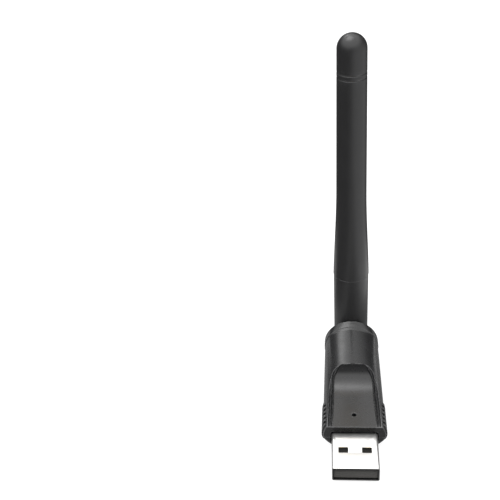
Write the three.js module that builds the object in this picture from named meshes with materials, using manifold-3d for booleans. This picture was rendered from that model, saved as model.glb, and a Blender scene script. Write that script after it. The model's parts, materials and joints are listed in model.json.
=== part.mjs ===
// USB Wi-Fi adapter: a USB-A plug, a two-shell case with a thumb recess, and a rod antenna that
// swivels a quarter turn about the case's long axis.
// Millimetres, +Z up. Lengths along the adapter are measured from the mouth of the plug towards the
// antenna, and the whole object is then shifted so that its base is centred on the origin.

import * as THREE from 'three';
import { LoftGeometry } from 'three/addons/geometries/LoftGeometry.js';
import { mergeVertices } from 'three/addons/utils/BufferGeometryUtils.js';
import Module from 'manifold-3d';

const wasm = await Module();
wasm.setup();

// ---------------------------------------------------------------- driving dimensions

// USB-A plug (standard sizes)
const PLUG = { width: 12, height: 4.5, wall: 0.3, corner: 0.6, length: 14.6, centreZ: 3.3 };
const PLUG_ROOT = { start: 11.95, inset: 0.1 };
const WINDOW = { width: 2.5, length: 1.95, fromMouth: 5.16, spacing: 6 };
const TONGUE = { width: 11.1, thickness: 1.84, top: 3.49, start: 0.4, chamfer: 0.4 };
const BLOCK = { start: 11.4, end: 14.4, clearance: 0.1, corner: 0.25 };
const CONTACT = { width: 1, thickness: 0.2, start: 1.9, dive: 7, tailEnd: 16.1, offsets: [-3.5, -1, 1, 3.5] };
const CONTACT_GAP = 0.05;

// Case: a tube of elliptical section that changes evenly from front to rear, cut flat underneath
const FRONT_Y = 12;
const REAR_Y = 47.85;
const FRONT_SECTION = { halfWidth: 8.3, upper: 7.9, lower: 5.3, centreZ: 3.9 };
const REAR_SECTION = { halfWidth: 7.65, upper: 7.65, lower: 7.65, centreZ: 6.35 };
const LIP_SWELL = 0.53;
const WALL = 1.2;
const FLOOR = 1.1;
const PART_GAP = 0.2;
const PLUG_GAP = 0.3;

// Top line of the case, seen from the side
const RIM_Z = 7.55;
const BARREL_Z = 13;
const COLLAR_START = 45.2;
const COLLAR_TOP = { start: 46.3, z: 13.95 };
const BACK_SLOPE = { lip: 31.1, upper: [27.5, 12.9], lower: [22, 9.6] };
const ABOVE = 20;
const ACROSS = 20;

// Thumb recess: a flat deck and a concave ramp that steepens up to an upright step at the lip
const LIP_Y = 30.7;
const RAMP_START = 23.2;
const RAMP_RADIUS = 10.8;
const TERRACES = [
  { front: 5.75, rear: 5.1, rise: 0 },
  { front: 6.35, rear: 5.6, rise: 0.075 },
  { front: 6.95, rear: 6.15, rise: 0.15 },
];
const LIP_CORNER = 2.6;
const LED_HOLE = { y: 16.6, radius: 0.6 };

// Grip ribs on both flanks
const GRIP = { count: 6, pitch: 1.5, width: 0.95, firstY: 13.5, proud: 0.38, low: 1.9, high: 7.3 };

// Swivel: a hollow spigot through the rear wall, held by a flange inside the case
const PIVOT_Z = REAR_SECTION.centreZ;
const ANTENNA_Y = 53;
const SPIGOT = { radius: 2.5, hole: 2.8, bore: 1.4, flangeRadius: 3.7, flangeStart: 45.3, flangeEnd: 46.1 };
const REAR_WALL_Y = 46.45;
const LUG = { width: 1.4, reach: 4.8, angle: 180 };
const STOP_RIB = { thickness: 0.8, inner: 4.1, outer: 6.4, angles: [163, 287] };

// Antenna
const BOSS = { radius: 4.6, start: 48.05 };
const KNUCKLE_RADIUS = 4.92;
const SEAM_Z = 27.7;
const SEAM_GAP = 0.3;
const SEAM_CHAMFER = 0.15;
const NECK = { radius: 2.7, top: 36 };
const TIP_Z = 98.4;
const SLEEVE = { tip: 3.77, taper: 0.007, swell: 0.84, swellLow: 23, swellHigh: 55, swellSteps: 10 };
const SLEEVE_BORE = { radius: 2.8, top: 94.2, taper: 1.5, socketRadius: 3, socketTop: 37.5 };
const RING = { depth: 0.14, width: 0.34, tops: [88.97, 87.67] };

// Aerial inside the antenna, and the lead that feeds it along the hinge axis
const COAX = { radius: 0.57, bend: 2.5, top: 61 };
const FEED = { boardEnd: 35.8, riseStart: 38.2, riseMiddle: [40.6, 4.6], riseEnd: [42.8, 6.1], gap: 0.3 };
const TUBE = { outer: 2.3, inner: 1.9, low: 39, high: 62, lid: 0.4, leadGap: 0.3 };
const WIRE = { radius: 0.35, low: 61.3, high: 89 };

// Circuit board
const BOARD = { frontWidth: 11, rearWidth: 8.8, thickness: 0.8, start: 14.9, end: 43.4, bottom: 1.9 };
const BOARD_TOP = BOARD.bottom + BOARD.thickness;
const BOARD_RESTS = { places: [17.5, 25, 33, 41], halfWidth: 4.2, halfLength: 0.4, root: 0.5 };
const SEAT_GAP = 0.05;

// Parts on the board: middle [x, y] and size [width, length, height]
const CHIP = { middle: [0, 27.7], size: [5, 5, 0.85] };
const CRYSTAL = { middle: [3.4, 21.4], size: [2.5, 3.2, 0.7] };
const REGULATOR = { middle: [-3.3, 19.8], size: [1.4, 2.9, 1], leg: [0.9, 0.4, 0.2], legOut: 0.95 };
const INDUCTOR = { middle: [-3.4, 23.6], size: [2, 2.5, 1.2] };
const LED = { middle: [0, 17.2], size: [0.8, 1.6, 0.5] };
const CAPACITORS = { middles: [[3.5, 18.2], [-3.9, 27.2], [4.1, 25.2], [4.1, 28.4]], size: [0.8, 1.6, 0.8] };
const RESISTORS = { middles: [[0, 31.4], [0, 33.4]], size: [0.5, 1, 0.35] };
const END_CAP = { share: 0.25, proud: 0.05 };

const CENTRE_Y = (ANTENNA_Y + sleeveRadius(SEAM_Z + SEAM_GAP / 2 + SEAM_CHAMFER)) / 2;

// ---------------------------------------------------------------- materials

const finish = (color, roughness, metalness = 0) => () =>
  new THREE.MeshStandardMaterial({ color, roughness, metalness });
const blackPlastic = finish(0x232324, 0.42);
const darkPlastic = finish(0x1a1a1b, 0.55);
const nickel = finish(0xe8e8e6, 0.25, 1);
const gold = finish(0xd9b25a, 0.3, 1);
const boardGreen = finish(0x14492c, 0.5);
const chipBlack = finish(0x17181a, 0.6);
const tin = finish(0xc2c4c6, 0.35, 1);
const ceramic = finish(0xa98c66, 0.6);
const brass = finish(0xb8954e, 0.35, 1);
const copper = finish(0xb86b3e, 0.35, 1);
const cableBlack = finish(0x111112, 0.6);
const ledBody = finish(0xe9ecdf, 0.35);

// ---------------------------------------------------------------- solids and booleans

function toSolid(geometry) {
  const bare = new THREE.BufferGeometry().copy(geometry);
  bare.deleteAttribute('normal');
  bare.deleteAttribute('uv');
  const welded = mergeVertices(bare, 1e-4);
  return new wasm.Manifold(
    new wasm.Mesh({
      numProp: 3,
      vertProperties: new Float32Array(welded.attributes.position.array),
      triVerts: new Uint32Array(welded.index.array),
    }),
  );
}

function toGeometry(solid) {
  const mesh = solid.getMesh();
  const geometry = new THREE.BufferGeometry();
  geometry.setAttribute('position', new THREE.BufferAttribute(mesh.vertProperties, 3));
  geometry.setIndex(new THREE.BufferAttribute(mesh.triVerts, 1));
  geometry.computeVertexNormals();
  return geometry;
}

const joined = (solids) => solids.reduce((sum, solid) => sum.add(solid));

// A box given by its lowest and highest corners.
function box(low, high) {
  const size = high.map((value, i) => value - low[i]);
  const geometry = new THREE.BoxGeometry(...size);
  geometry.translate(...low.map((value, i) => value + size[i] / 2));
  return toSolid(geometry);
}

// A shape drawn in (X, Y) and extruded up Z.
function extrudeUp(shape, low, high) {
  const settings = { depth: high - low, bevelEnabled: false, curveSegments: 6 };
  const geometry = new THREE.ExtrudeGeometry(shape, settings);
  geometry.translate(0, 0, low);
  return toSolid(geometry);
}

// A shape drawn in (Y, Z) and extruded along X, centred on X = middle.
function extrudeAcross(shape, width, middle = 0) {
  const geometry = new THREE.ExtrudeGeometry(shape, { depth: width, bevelEnabled: false, curveSegments: 8 });
  const axes = [new THREE.Vector3(0, 1, 0), new THREE.Vector3(0, 0, 1), new THREE.Vector3(1, 0, 0)];
  geometry.applyMatrix4(new THREE.Matrix4().makeBasis(...axes));
  geometry.translate(middle - width / 2, 0, 0);
  return toSolid(geometry);
}

// A shape drawn in (X, Z) and extruded along Y.
function extrudeAlong(shape, start, end) {
  const settings = { depth: end - start, bevelEnabled: false, curveSegments: 4 };
  const geometry = new THREE.ExtrudeGeometry(shape, settings);
  const axes = [new THREE.Vector3(1, 0, 0), new THREE.Vector3(0, 0, 1), new THREE.Vector3(0, -1, 0)];
  geometry.applyMatrix4(new THREE.Matrix4().makeBasis(...axes));
  geometry.translate(0, end, 0);
  return toSolid(geometry);
}

function cylinderAlong(radius, start, end, centreZ, segments = 40) {
  const geometry = new THREE.CylinderGeometry(radius, radius, end - start, segments);
  geometry.translate(0, (start + end) / 2, centreZ);
  return toSolid(geometry);
}

function cylinderUp(radius, low, high, y, segments = 24) {
  const geometry = new THREE.CylinderGeometry(radius, radius, high - low, segments);
  geometry.rotateX(Math.PI / 2);
  geometry.translate(0, y, (low + high) / 2);
  return toSolid(geometry);
}

// A profile of [radius, height] points turned about the antenna's axis.
function turned(profile, segments = 40) {
  const points = profile.map(([radius, height]) => new THREE.Vector2(radius, height));
  const geometry = new THREE.LatheGeometry(points, segments);
  geometry.rotateX(Math.PI / 2);
  geometry.translate(0, ANTENNA_Y, 0);
  return toSolid(geometry);
}

function polygon(points) {
  return new THREE.Shape(points.map(([a, b]) => new THREE.Vector2(a, b)));
}

function roundedRectangle(width, height, radius, middleY = 0) {
  const shape = new THREE.Shape();
  const x = width / 2 - radius;
  const y = height / 2 - radius;
  shape.absarc(x, middleY + y, radius, 0, Math.PI / 2);
  shape.absarc(-x, middleY + y, radius, Math.PI / 2, Math.PI);
  shape.absarc(-x, middleY - y, radius, Math.PI, Math.PI * 1.5);
  shape.absarc(x, middleY - y, radius, Math.PI * 1.5, Math.PI * 2);
  return shape;
}

function roundWire(points, radius, steps) {
  const circle = new THREE.Shape();
  circle.absarc(0, 0, radius, 0, Math.PI * 2);
  const path = new THREE.CatmullRomCurve3(points.map((point) => new THREE.Vector3(...point)));
  return new THREE.ExtrudeGeometry(circle, {
    steps,
    extrudePath: path,
    bevelEnabled: false,
    curveSegments: 4,
  });
}

// ---------------------------------------------------------------- case sections

const mix = THREE.MathUtils.lerp;

// The section at one station. Its upper half swells a little towards the lip of the recess.
function sectionAt(y) {
  const t = (y - FRONT_Y) / (REAR_Y - FRONT_Y);
  const section = Object.fromEntries(
    Object.keys(FRONT_SECTION).map((key) => [key, mix(FRONT_SECTION[key], REAR_SECTION[key], t)]),
  );
  section.upper += LIP_SWELL * Math.min((y - FRONT_Y) / (LIP_Y - FRONT_Y), (REAR_Y - y) / (REAR_Y - LIP_Y));
  return section;
}

// Points round the section at one station, grown or shrunk evenly.
function sectionRing(y, grow, count) {
  const { halfWidth, upper, lower, centreZ } = sectionAt(y);
  return Array.from({ length: count }, (_, i) => {
    const angle = (-2 * Math.PI * i) / count;
    const x = (halfWidth + grow) * Math.cos(angle);
    const reach = Math.sin(angle) > 0 ? upper : lower;
    return new THREE.Vector3(x, y, centreZ + (reach + grow) * Math.sin(angle));
  });
}

function caseTube(grow = 0, count = 72) {
  const sections = [FRONT_Y, LIP_Y, REAR_Y].map((y) => sectionRing(y, grow, count));
  return toSolid(new LoftGeometry(sections, { capStart: true, capEnd: true }));
}

// The side view of the case: flat underneath, with the slope beside the recess, the barrel and
// the raised collar along its top.
function underTopLine() {
  const shape = new THREE.Shape();
  shape.moveTo(FRONT_Y, 0);
  shape.lineTo(REAR_Y, 0);
  shape.lineTo(REAR_Y, ABOVE);
  shape.lineTo(COLLAR_TOP.start, ABOVE);
  shape.lineTo(COLLAR_TOP.start, COLLAR_TOP.z);
  shape.lineTo(COLLAR_START, BARREL_Z);
  shape.lineTo(BACK_SLOPE.lip, BARREL_Z);
  shape.bezierCurveTo(...BACK_SLOPE.upper, ...BACK_SLOPE.lower, FRONT_Y, RIM_Z);
  return shape;
}

// ---------------------------------------------------------------- thumb recess

function recessOutline({ front, rear }) {
  const shape = new THREE.Shape();
  const x = rear - LIP_CORNER;
  const y = LIP_Y - LIP_CORNER;
  shape.moveTo(-front, FRONT_Y - 1);
  shape.lineTo(front, FRONT_Y - 1);
  shape.absarc(x, y, LIP_CORNER, 0, Math.PI / 2);
  shape.absarc(-x, y, LIP_CORNER, Math.PI / 2, Math.PI);
  return shape;
}

// Everything above one terrace: level on the deck, rising to the lip on the terraces beside it.
function aboveTerrace({ rise }) {
  const rampFoot = RIM_Z + rise * (RAMP_START - FRONT_Y);
  const shape = new THREE.Shape();
  shape.moveTo(FRONT_Y - 1, ABOVE);
  shape.lineTo(FRONT_Y - 1, RIM_Z);
  shape.lineTo(FRONT_Y, RIM_Z);
  const end = Math.asin((LIP_Y - RAMP_START) / RAMP_RADIUS) - Math.PI / 2;
  shape.absarc(RAMP_START, rampFoot + RAMP_RADIUS, RAMP_RADIUS, -Math.PI / 2, end);
  shape.lineTo(LIP_Y, ABOVE);
  return extrudeAcross(shape, ACROSS);
}

function recess() {
  return joined(
    TERRACES.map((terrace) =>
      extrudeUp(recessOutline(terrace), RIM_Z - 1, ABOVE + 1).intersect(aboveTerrace(terrace)),
    ),
  );
}

// ---------------------------------------------------------------- case

function gripRibs() {
  const ribs = [];
  for (let i = 0; i < GRIP.count; i += 1) {
    const start = GRIP.firstY + i * GRIP.pitch - GRIP.width / 2;
    ribs.push(box([-ACROSS / 2, start, GRIP.low], [ACROSS / 2, start + GRIP.width, GRIP.high]));
  }
  return joined(ribs).intersect(caseTube(GRIP.proud));
}

function caseOutside() {
  const side = extrudeAcross(underTopLine(), ACROSS);
  return caseTube().add(gripRibs()).intersect(side).subtract(recess());
}

// The hollow keeps a wall under the deck, behind the ramp and under the barrel.
function caseInside() {
  const shape = new THREE.Shape();
  const roof = BARREL_Z - WALL;
  const behindLip = LIP_Y + WALL;
  const bend = RAMP_RADIUS + WALL;
  const bendEnd = Math.asin((behindLip - RAMP_START) / bend) - Math.PI / 2;
  shape.moveTo(FRONT_Y + WALL, FLOOR);
  shape.lineTo(REAR_WALL_Y, FLOOR);
  shape.lineTo(REAR_WALL_Y, roof);
  shape.lineTo(behindLip, roof);
  shape.absarc(RAMP_START, RIM_Z + RAMP_RADIUS, bend, bendEnd, -Math.PI / 2, true);
  shape.lineTo(FRONT_Y + WALL, RIM_Z - WALL);
  return extrudeAcross(shape, ACROSS).intersect(caseTube(-WALL, 48));
}

function radialBar(angleDegrees, inner, outer, width, start, end) {
  const geometry = new THREE.BoxGeometry(width, end - start, outer - inner);
  geometry.translate(0, (start + end) / 2, (inner + outer) / 2);
  geometry.rotateY(-THREE.MathUtils.degToRad(angleDegrees));
  geometry.translate(0, 0, PIVOT_Z);
  return toSolid(geometry);
}

// Two ribs behind the rear wall stop the flange's lug, one at each end of the swivel.
function stopRibs() {
  const { thickness, inner, outer, angles } = STOP_RIB;
  const ribs = angles.map((angle) =>
    radialBar(angle, inner, outer, thickness, SPIGOT.flangeStart, REAR_WALL_Y + WALL / 2),
  );
  return joined(ribs).intersect(caseTube(-WALL / 2, 48));
}

// Ribs across the floor carry the circuit board.
function boardRests() {
  const { places, halfWidth, halfLength, root } = BOARD_RESTS;
  const rests = places.map((y) =>
    box([-halfWidth, y - halfLength, FLOOR - root], [halfWidth, y + halfLength, BOARD.bottom - SEAT_GAP]),
  );
  return joined(rests);
}

function plugOpening() {
  const shape = roundedRectangle(
    PLUG.width + 2 * PLUG_GAP,
    PLUG.height + 2 * PLUG_GAP,
    PLUG.corner + PLUG_GAP,
    PLUG.centreZ,
  );
  return extrudeAlong(shape, FRONT_Y - 1, PLUG.length + PLUG_GAP);
}

function wholeCase() {
  return caseOutside()
    .subtract(caseInside())
    .add(stopRibs())
    .add(boardRests())
    .subtract(plugOpening())
    .subtract(cylinderAlong(SPIGOT.hole, REAR_WALL_Y - 1, REAR_Y + 1, PIVOT_Z))
    .subtract(cylinderUp(LED_HOLE.radius, RIM_Z - 2, RIM_Z + 1, LED_HOLE.y, 16));
}

// The shells part on a plane through the widest line, which climbs from the plug to the pivot.
function partingPrism(sign) {
  const line = (y) => [y, sectionAt(y).centreZ + (sign * PART_GAP) / 2];
  const far = sign * ABOVE;
  const shape = polygon([line(FRONT_Y - 1), line(REAR_Y + 1), [REAR_Y + 1, far], [FRONT_Y - 1, far]]);
  return extrudeAcross(shape, ACROSS);
}

// ---------------------------------------------------------------- plug

function plugSection(inset) {
  const width = PLUG.width - 2 * inset;
  const height = PLUG.height - 2 * inset;
  return roundedRectangle(width, height, PLUG.corner - inset, PLUG.centreZ);
}

// The shell is drawn in a little at its root, where the case grips it.
function usbShell() {
  const tube = extrudeAlong(plugSection(0), 0, PLUG_ROOT.start)
    .add(extrudeAlong(plugSection(PLUG_ROOT.inset), PLUG_ROOT.start / 2, PLUG.length))
    .subtract(extrudeAlong(plugSection(PLUG.wall), -1, PLUG.length + 1));
  const windows = [-1, 1].map((side) => {
    const x = (side * WINDOW.spacing) / 2;
    return box(
      [x - WINDOW.width / 2, WINDOW.fromMouth, PLUG.centreZ - PLUG.height],
      [x + WINDOW.width / 2, WINDOW.fromMouth + WINDOW.length, PLUG.centreZ + PLUG.height],
    );
  });
  return tube.subtract(joined(windows));
}

function usbTongue() {
  const blade = polygon([
    [TONGUE.start + TONGUE.chamfer, TONGUE.top],
    [TONGUE.start, TONGUE.top - TONGUE.chamfer],
    [TONGUE.start, TONGUE.top - TONGUE.thickness],
    [BLOCK.start + 1, TONGUE.top - TONGUE.thickness],
    [BLOCK.start + 1, TONGUE.top],
  ]);
  const inset = 2 * (PLUG.wall + BLOCK.clearance);
  const block = roundedRectangle(PLUG.width - inset, PLUG.height - inset, BLOCK.corner, PLUG.centreZ);
  return extrudeAcross(blade, TONGUE.width)
    .add(extrudeAlong(block, BLOCK.start, BLOCK.end))
    .subtract(joined(CONTACT.offsets.map(contactSlot)));
}

// The groove in which a contact lies, the well where it dives and the tunnel to the back of the block.
function contactSlot(x) {
  const gap = CONTACT_GAP;
  const low = TONGUE.top - CONTACT.thickness - gap;
  const pad = BOARD_TOP + SEAT_GAP;
  const wellStart = CONTACT.dive - CONTACT.thickness - gap;
  const left = x - CONTACT.width / 2 - gap;
  const right = x + CONTACT.width / 2 + gap;
  return joined([
    box([left, CONTACT.start - gap, low], [right, CONTACT.dive + gap, TONGUE.top + 1]),
    box([left, wellStart, pad - gap], [right, CONTACT.dive + gap, TONGUE.top + 1]),
    box([left, wellStart, pad - gap], [right, BLOCK.end + 1, pad + CONTACT.thickness + gap]),
  ]);
}

// A contact lies flush in the tongue, dives into it, and runs out of the block to its pad on the board.
function usbContact(x) {
  const { thickness, start, dive, tailEnd } = CONTACT;
  const pad = BOARD_TOP + SEAT_GAP;
  const shape = polygon([
    [start, TONGUE.top - thickness],
    [dive - thickness, TONGUE.top - thickness],
    [dive - thickness, pad],
    [tailEnd, pad],
    [tailEnd, pad + thickness],
    [dive, pad + thickness],
    [dive, TONGUE.top],
    [start, TONGUE.top],
  ]);
  return extrudeAcross(shape, CONTACT.width, x);
}

// ---------------------------------------------------------------- circuit board

function circuitBoard() {
  const outline = polygon([
    [-BOARD.frontWidth / 2, BOARD.start],
    [BOARD.frontWidth / 2, BOARD.start],
    [BOARD.rearWidth / 2, BOARD.end],
    [-BOARD.rearWidth / 2, BOARD.end],
  ]);
  return extrudeUp(outline, BOARD.bottom, BOARD_TOP);
}

// A plain block that stands on the board.
function onBoard([x, y], [width, length, height]) {
  const low = BOARD_TOP + SEAT_GAP;
  return box([x - width / 2, y - length / 2, low], [x + width / 2, y + length / 2, low + height]);
}

// A chip part with metal end caps, which stand a little proud of its body.
function cappedPart([x, y], [width, length, height]) {
  const cap = length * END_CAP.share;
  const offset = (length - cap) / 2;
  return joined([
    onBoard([x, y], [width - END_CAP.proud, length, height - END_CAP.proud]),
    onBoard([x, y - offset], [width, cap, height]),
    onBoard([x, y + offset], [width, cap, height]),
  ]);
}

// A three-legged regulator: two legs on one side, one on the other.
function regulator() {
  const { middle, size, leg, legOut } = REGULATOR;
  const [x, y] = middle;
  const feet = [
    [x - legOut, y - legOut],
    [x - legOut, y + legOut],
    [x + legOut, y],
  ];
  return joined([onBoard(middle, size), ...feet.map((foot) => onBoard(foot, leg))]);
}

// ---------------------------------------------------------------- antenna

function arcPoints(radius, centreHeight, from, to, count) {
  return Array.from({ length: count + 1 }, (_, i) => {
    const angle = mix(from, to, i / count);
    return [radius * Math.cos(angle), centreHeight + radius * Math.sin(angle)];
  });
}

// Radius of the sleeve: a slow taper up to the tip, with a swell at the base that eases out.
function sleeveRadius(z) {
  const straight = SLEEVE.tip + SLEEVE.taper * (TIP_Z - SLEEVE.tip - z);
  return straight + SLEEVE.swell * (1 - THREE.MathUtils.smoothstep(z, SLEEVE.swellLow, SLEEVE.swellHigh));
}

function ringGroove(top) {
  const low = top - RING.width;
  const middle = (top + low) / 2;
  return [
    [sleeveRadius(low), low],
    [sleeveRadius(middle) - RING.depth, middle],
    [sleeveRadius(top), top],
  ];
}

function antennaSleeve() {
  const base = SEAM_Z + SEAM_GAP / 2;
  const domeZ = TIP_Z - SLEEVE.tip;
  const taper = Array.from({ length: SLEEVE.swellSteps + 1 }, (_, i) => {
    const z = mix(base + SEAM_CHAMFER, SLEEVE.swellHigh, i / SLEEVE.swellSteps);
    return [sleeveRadius(z), z];
  });
  const profile = [
    [SLEEVE_BORE.socketRadius, base],
    [sleeveRadius(base) - SEAM_CHAMFER, base],
    ...taper,
    ...RING.tops.toReversed().flatMap(ringGroove),
    ...arcPoints(SLEEVE.tip, domeZ, 0, Math.PI / 2, 8).slice(0, -1),
    [0, TIP_Z],
    [0, SLEEVE_BORE.top],
    [SLEEVE_BORE.radius, SLEEVE_BORE.top - SLEEVE_BORE.taper],
    [SLEEVE_BORE.radius, SLEEVE_BORE.socketTop],
    [SLEEVE_BORE.socketRadius, SLEEVE_BORE.socketTop],
    [SLEEVE_BORE.socketRadius, base],
  ];
  return turned(profile);
}

function antennaKnuckle() {
  const shoulder = SEAM_Z - SEAM_GAP / 2;
  const profile = [
    [0, PIVOT_Z - KNUCKLE_RADIUS],
    ...arcPoints(KNUCKLE_RADIUS, PIVOT_Z, -Math.PI / 2, 0, 8).slice(1),
    [KNUCKLE_RADIUS, shoulder - SEAM_CHAMFER],
    [KNUCKLE_RADIUS - SEAM_CHAMFER, shoulder],
    [NECK.radius, shoulder],
    [NECK.radius, NECK.top],
    [0, NECK.top],
  ];
  const lug = radialBar(LUG.angle, 0, LUG.reach, LUG.width, SPIGOT.flangeStart, SPIGOT.flangeEnd);
  return turned(profile)
    .add(cylinderAlong(BOSS.radius, BOSS.start, ANTENNA_Y, PIVOT_Z))
    .add(cylinderAlong(SPIGOT.radius, SPIGOT.flangeStart, ANTENNA_Y, PIVOT_Z))
    .add(cylinderAlong(SPIGOT.flangeRadius, SPIGOT.flangeStart, SPIGOT.flangeEnd, PIVOT_Z))
    .add(lug)
    .subtract(cylinderAlong(SPIGOT.bore, SPIGOT.flangeStart - 1, ANTENNA_Y + SPIGOT.bore / 2, PIVOT_Z, 24))
    .subtract(cylinderUp(SPIGOT.bore, PIVOT_Z, NECK.top + 1, ANTENNA_Y));
}

// The lower arm of the aerial: a tube round the lead, closed at the top but for the lead's hole.
function dipoleTube() {
  const hole = COAX.radius + TUBE.leadGap;
  const profile = [
    [TUBE.inner, TUBE.low],
    [TUBE.outer, TUBE.low],
    [TUBE.outer, TUBE.high],
    [hole, TUBE.high],
    [hole, TUBE.high - TUBE.lid],
    [TUBE.inner, TUBE.high - TUBE.lid],
    [TUBE.inner, TUBE.low],
  ];
  return turned(profile, 28);
}

// The upper arm of the aerial, a bare wire.
function radiatorWire() {
  return cylinderUp(WIRE.radius, WIRE.low, WIRE.high, ANTENNA_Y, 12);
}

// The turning half of the aerial lead: in along the hinge axis, then up the antenna.
function antennaCoax() {
  const half = COAX.bend * (1 - Math.SQRT1_2);
  const heights = [PIVOT_Z + COAX.bend, 14, 30, 46, COAX.top];
  const route = [
    [0, SPIGOT.flangeStart, PIVOT_Z],
    [0, BOSS.start, PIVOT_Z],
    [0, ANTENNA_Y - COAX.bend, PIVOT_Z],
    [0, ANTENNA_Y - half, PIVOT_Z + half],
    ...heights.map((z) => [0, ANTENNA_Y, z]),
  ];
  return roundWire(route, COAX.radius, 44);
}

// The fixed half of the aerial lead, from the board up to the hinge axis.
function feedCoax() {
  const level = BOARD_TOP + 2 * SEAT_GAP + COAX.radius;
  const route = [
    [0, FEED.boardEnd, level],
    [0, FEED.riseStart, level],
    [0, ...FEED.riseMiddle],
    [0, ...FEED.riseEnd],
    [0, SPIGOT.flangeStart - FEED.gap, PIVOT_Z],
  ];
  return roundWire(route, COAX.radius, 14);
}

// ---------------------------------------------------------------- assembly

function place(parent, name, shape, material) {
  const geometry = shape.isBufferGeometry ? shape : toGeometry(shape);
  const mesh = new THREE.Mesh(geometry, material());
  mesh.name = name;
  parent.add(mesh);
}

function adapterBody() {
  const body = new THREE.Group();
  const shells = wholeCase();
  place(body, 'upper_shell', shells.intersect(partingPrism(1)), blackPlastic);
  place(body, 'lower_shell', shells.intersect(partingPrism(-1)), blackPlastic);
  place(body, 'usb_shell', usbShell(), nickel);
  place(body, 'usb_tongue', usbTongue(), darkPlastic);
  CONTACT.offsets.forEach((x, i) => place(body, `usb_contact_${i + 1}`, usbContact(x), gold));
  place(body, 'circuit_board', circuitBoard(), boardGreen);
  place(body, 'wifi_chip', onBoard(CHIP.middle, CHIP.size), chipBlack);
  place(body, 'crystal', onBoard(CRYSTAL.middle, CRYSTAL.size), tin);
  place(body, 'regulator', regulator(), chipBlack);
  place(body, 'inductor', cappedPart(INDUCTOR.middle, INDUCTOR.size), chipBlack);
  place(body, 'status_led', cappedPart(LED.middle, LED.size), ledBody);
  CAPACITORS.middles.forEach((middle, i) => {
    place(body, `capacitor_${i + 1}`, cappedPart(middle, CAPACITORS.size), ceramic);
  });
  RESISTORS.middles.forEach((middle, i) => {
    place(body, `resistor_${i + 1}`, cappedPart(middle, RESISTORS.size), chipBlack);
  });
  place(body, 'feed_coax', feedCoax(), cableBlack);
  return body;
}

function antennaBody() {
  const antenna = new THREE.Group();
  place(antenna, 'antenna_sleeve', antennaSleeve(), blackPlastic);
  place(antenna, 'antenna_knuckle', antennaKnuckle(), blackPlastic);
  place(antenna, 'antenna_coax', antennaCoax(), cableBlack);
  place(antenna, 'dipole_tube', dipoleTube(), brass);
  place(antenna, 'radiator_wire', radiatorWire(), copper);
  return antenna;
}

const adapter = new THREE.Group();
adapter.add(adapterBody());
adapter.add(antennaBody());
adapter.position.set(0, -CENTRE_Y, 0);

export default adapter;
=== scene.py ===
"""USB Wi-Fi adapter with a swivelling rod antenna, on a plain white floor.

The case shells, the tongue of the plug and the antenna's knuckle are rounded solids, each written as
a distance function and meshed here. The antenna's sleeve is turned, and the plug's shell is sheet
metal with cut windows. Lengths are in millimetres in the frame of the CAD model, where +Z is up and
the plug points along -Y. A mesh is turned into metres when it is made.
"""

import json
import math

import bpy
import numpy as np
from mathutils import Matrix, Vector


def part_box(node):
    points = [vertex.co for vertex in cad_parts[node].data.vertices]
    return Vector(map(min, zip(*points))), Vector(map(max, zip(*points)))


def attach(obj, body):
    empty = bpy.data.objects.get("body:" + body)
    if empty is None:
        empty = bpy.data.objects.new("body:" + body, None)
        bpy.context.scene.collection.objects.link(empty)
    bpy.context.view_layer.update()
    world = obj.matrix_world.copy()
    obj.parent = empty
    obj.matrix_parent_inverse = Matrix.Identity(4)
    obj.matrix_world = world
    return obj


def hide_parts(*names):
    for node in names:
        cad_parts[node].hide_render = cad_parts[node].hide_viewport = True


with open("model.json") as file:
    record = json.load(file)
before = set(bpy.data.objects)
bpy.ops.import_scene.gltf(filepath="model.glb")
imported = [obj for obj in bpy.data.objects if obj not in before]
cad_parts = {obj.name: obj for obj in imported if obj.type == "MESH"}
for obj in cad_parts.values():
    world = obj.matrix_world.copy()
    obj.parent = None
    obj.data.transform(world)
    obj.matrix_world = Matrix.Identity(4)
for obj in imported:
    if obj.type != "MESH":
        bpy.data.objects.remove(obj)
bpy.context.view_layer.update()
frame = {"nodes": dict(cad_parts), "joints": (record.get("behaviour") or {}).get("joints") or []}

MM = 0.001
TINY, NEAR_ZERO = 1e-9, 1e-6


def corners(node):
    """Lowest and highest corner of a CAD node, in millimetres."""
    return [np.array(corner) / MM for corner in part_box(node)]


# ---------------------------------------------------------------- places taken from the frame

CASE_LOW, CASE_HIGH = corners("upper_shell")
PLUG_LOW, PLUG_HIGH = corners("usb_shell")
TONGUE_LOW, TONGUE_HIGH = corners("usb_tongue")
SLEEVE_LOW, SLEEVE_HIGH = corners("antenna_sleeve")
KNUCKLE_LOW, KNUCKLE_HIGH = corners("antenna_knuckle")
PIVOT = np.array(frame["joints"][0]["pos_m"]) / MM

FRONT = CASE_LOW[1]
LENGTH = CASE_HIGH[1] - CASE_LOW[1]
PLUG_CENTRE_Z = (PLUG_LOW[2] + PLUG_HIGH[2]) / 2
AXIS_Y = PIVOT[1]

# ---------------------------------------------------------------- case dimensions
# Stations along the case are counted from its front face.

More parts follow.
